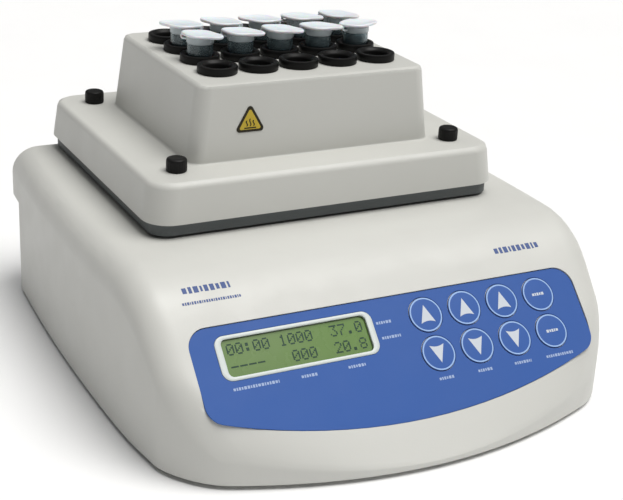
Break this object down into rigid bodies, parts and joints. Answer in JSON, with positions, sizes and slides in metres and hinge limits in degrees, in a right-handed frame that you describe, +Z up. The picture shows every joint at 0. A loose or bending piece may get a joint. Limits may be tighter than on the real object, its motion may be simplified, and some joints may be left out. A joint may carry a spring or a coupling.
{
  "type": "shaking dry block heater",
  "caption": "Bench dry block heater: a capped tube block on an orbiting platform over a moulded base with a sloping key and display panel.",
  "frame": {"origin": "on the floor under the middle of the base", "axes": "+X to the right, +Y to the back, +Z up, seen from the control panel"},
  "size_m": [0.205, 0.23, 0.1325],
  "materials": {
    "housing_white": "fine moulded texture",
    "under_grey": "moulded",
    "foot_rubber": "matte",
    "steel": "machined",
    "panel_blue": "satin printed film",
    "key_blue": "satin printed film",
    "frame_pale": "satin",
    "lcd_green": "glossy display window",
    "board_green": "soldermask",
    "black_plastic": "satin moulded",
    "sheet_metal": "zinc plated",
    "aluminium": "machined",
    "brass": "machined",
    "belt_rubber": "matte",
    "platform_dark": "satin",
    "foam": "fibrous board",
    "foil": "polyimide foil",
    "label_yellow": "printed film",
    "tube_clear": "translucent moulding"
  },
  "bodies": {
    "base": {"housing": "housing_white", "base_plate": "under_grey", "feet": "foot_rubber", "case_screws": "steel", "panel_overlay": "panel_blue", "display_frame": "frame_pale", "display_glass": "lcd_green", "display_module": "board_green", "control_board": "board_green", "switch_body": "black_plastic", "dc_inlet": "black_plastic", "main_board": "board_green", "board_spacers": "brass", "chassis_plate": "sheet_metal", "chassis_posts": "steel", "chassis_screws": "steel", "bearing_block": "aluminium", "main_bearings": "steel", "motor": "sheet_metal", "drive_belt": "belt_rubber", "crank_bushes": "brass"},
    "main_shaft": {"drive_shaft": "steel", "drive_pulley": "aluminium", "counterweight": "brass"},
    "platform": {"platform_plate": "platform_dark", "insulation_pad": "foam", "heater_foil": "foil", "heat_sensor": "aluminium", "tube_block": "aluminium", "block_cover": "housing_white", "collars": "black_plastic", "caution_label": "label_yellow"},
    "rotor": {"motor_rotor": "aluminium"},
    "crank_fl_body": {"crank_fl": "steel"},
    "crank_fr_body": {"crank_fr": "steel"},
    "crank_bl_body": {"crank_bl": "steel"},
    "crank_br_body": {"crank_br": "steel"},
    "screw_fl_body": {"cap_screw_fl": "black_plastic"},
    "screw_fr_body": {"cap_screw_fr": "black_plastic"},
    "screw_bl_body": {"cap_screw_bl": "black_plastic"},
    "screw_br_body": {"cap_screw_br": "black_plastic"},
    "tube_1_body": {"tube_1": "tube_clear"},
    "tube_2_body": {"tube_2": "tube_clear"},
    "tube_3_body": {"tube_3": "tube_clear"},
    "tube_4_body": {"tube_4": "tube_clear"},
    "tube_5_body": {"tube_5": "tube_clear"},
    "tube_6_body": {"tube_6": "tube_clear"},
    "tube_7_body": {"tube_7": "tube_clear"},
    "tube_8_body": {"tube_8": "tube_clear"},
    "tube_9_body": {"tube_9": "tube_clear"},
    "tube_10_body": {"tube_10": "tube_clear"},
    "key_1_body": {"key_1": "key_blue"},
    "key_2_body": {"key_2": "key_blue"},
    "key_3_body": {"key_3": "key_blue"},
    "key_4_body": {"key_4": "key_blue"},
    "key_5_body": {"key_5": "key_blue"},
    "key_6_body": {"key_6": "key_blue"},
    "key_7_body": {"key_7": "key_blue"},
    "key_8_body": {"key_8": "key_blue"},
    "rocker": {"switch_rocker": "black_plastic"}
  },
  "joints": [
    {"name": "main_spin", "type": "hinge", "parent": "base", "child": "main_shaft", "pos_m": [0, 0.0422, 0.0365], "axis": [0, 0, 1], "continuous": true},
    {"name": "platform_orbit", "type": "hinge", "parent": "main_shaft", "child": "platform", "pos_m": [0, 0.0432, 0.0665], "axis": [0, 0, 1], "continuous": true},
    {"name": "motor_spin", "type": "hinge", "parent": "base", "child": "rotor", "pos_m": [-0.056, 0.0422, 0.04], "axis": [0, 0, 1], "continuous": true},
    {"name": "crank_fl_spin", "type": "hinge", "parent": "base", "child": "crank_fl_body", "pos_m": [-0.052, 0.0082, 0.055], "axis": [0, 0, 1], "continuous": true},
    {"name": "crank_fr_spin", "type": "hinge", "parent": "base", "child": "crank_fr_body", "pos_m": [0.052, 0.0082, 0.055], "axis": [0, 0, 1], "continuous": true},
    {"name": "crank_bl_spin", "type": "hinge", "parent": "base", "child": "crank_bl_body", "pos_m": [-0.052, 0.0762, 0.055], "axis": [0, 0, 1], "continuous": true},
    {"name": "crank_br_spin", "type": "hinge", "parent": "base", "child": "crank_br_body", "pos_m": [0.052, 0.0762, 0.055], "axis": [0, 0, 1], "continuous": true},
    {"name": "screw_fl_turn", "type": "hinge", "parent": "platform", "child": "screw_fl_body", "pos_m": [-0.063, -0.0061, 0.0887], "axis": [0, 0, 1], "continuous": true},
    {"name": "screw_fr_turn", "type": "hinge", "parent": "platform", "child": "screw_fr_body", "pos_m": [0.063, -0.0061, 0.0887], "axis": [0, 0, 1], "continuous": true},
    {"name": "screw_bl_turn", "type": "hinge", "parent": "platform", "child": "screw_bl_body", "pos_m": [-0.063, 0.0925, 0.0887], "axis": [0, 0, 1], "continuous": true},
    {"name": "screw_br_turn", "type": "hinge", "parent": "platform", "child": "screw_br_body", "pos_m": [0.063, 0.0925, 0.0887], "axis": [0, 0, 1], "continuous": true},
    {"name": "tube_1_lift", "type": "slide", "parent": "platform", "child": "tube_1_body", "axis": [0, 0, 1], "range_m": [0, 0.045]},
    {"name": "tube_2_lift", "type": "slide", "parent": "platform", "child": "tube_2_body", "axis": [0, 0, 1], "range_m": [0, 0.045]},
    {"name": "tube_3_lift", "type": "slide", "parent": "platform", "child": "tube_3_body", "axis": [0, 0, 1], "range_m": [0, 0.045]},
    {"name": "tube_4_lift", "type": "slide", "parent": "platform", "child": "tube_4_body", "axis": [0, 0, 1], "range_m": [0, 0.045]},
    {"name": "tube_5_lift", "type": "slide", "parent": "platform", "child": "tube_5_body", "axis": [0, 0, 1], "range_m": [0, 0.045]},
    {"name": "tube_6_lift", "type": "slide", "parent": "platform", "child": "tube_6_body", "axis": [0, 0, 1], "range_m": [0, 0.045]},
    {"name": "tube_7_lift", "type": "slide", "parent": "platform", "child": "tube_7_body", "axis": [0, 0, 1], "range_m": [0, 0.045]},
    {"name": "tube_8_lift", "type": "slide", "parent": "platform", "child": "tube_8_body", "axis": [0, 0, 1], "range_m": [0, 0.045]},
    {"name": "tube_9_lift", "type": "slide", "parent": "platform", "child": "tube_9_body", "axis": [0, 0, 1], "range_m": [0, 0.045]},
    {"name": "tube_10_lift", "type": "slide", "parent": "platform", "child": "tube_10_body", "axis": [0, 0, 1], "range_m": [0, 0.045]},
    {"name": "key_1_press", "type": "slide", "parent": "base", "child": "key_1_body", "axis": [0, 0.7071, -0.7071], "range_m": [0, 0.0004], "stiffness_N_per_m": 3000},
    {"name": "key_2_press", "type": "slide", "parent": "base", "child": "key_2_body", "axis": [0, 0.7071, -0.7071], "range_m": [0, 0.0004], "stiffness_N_per_m": 3000},
    {"name": "key_3_press", "type": "slide", "parent": "base", "child": "key_3_body", "axis": [0, 0.7071, -0.7071], "range_m": [0, 0.0004], "stiffness_N_per_m": 3000},
    {"name": "key_4_press", "type": "slide", "parent": "base", "child": "key_4_body", "axis": [0, 0.7071, -0.7071], "range_m": [0, 0.0004], "stiffness_N_per_m": 3000},
    {"name": "key_5_press", "type": "slide", "parent": "base", "child": "key_5_body", "axis": [0, 0.7071, -0.7071], "range_m": [0, 0.0004], "stiffness_N_per_m": 3000},
    {"name": "key_6_press", "type": "slide", "parent": "base", "child": "key_6_body", "axis": [0, 0.7071, -0.7071], "range_m": [0, 0.0004], "stiffness_N_per_m": 3000},
    {"name": "key_7_press", "type": "slide", "parent": "base", "child": "key_7_body", "axis": [0, 0.7071, -0.7071], "range_m": [0, 0.0004], "stiffness_N_per_m": 3000},
    {"name": "key_8_press", "type": "slide", "parent": "base", "child": "key_8_body", "axis": [0, 0.7071, -0.7071], "range_m": [0, 0.0004], "stiffness_N_per_m": 3000},
    {"name": "power_rocker", "type": "hinge", "parent": "base", "child": "rocker", "pos_m": [0.034, 0.098, 0.024], "axis": [1, 0, 0], "range_deg": [0, 12]}
  ],
  "couplings": [
    {"joint": "platform_orbit", "follows": "main_spin", "ratio": -1},
    {"joint": "motor_spin", "follows": "main_spin", "ratio": 2},
    {"joint": "crank_fl_spin", "follows": "main_spin", "ratio": 1},
    {"joint": "crank_fr_spin", "follows": "main_spin", "ratio": 1},
    {"joint": "crank_bl_spin", "follows": "main_spin", "ratio": 1},
    {"joint": "crank_br_spin", "follows": "main_spin", "ratio": 1}
  ]
}
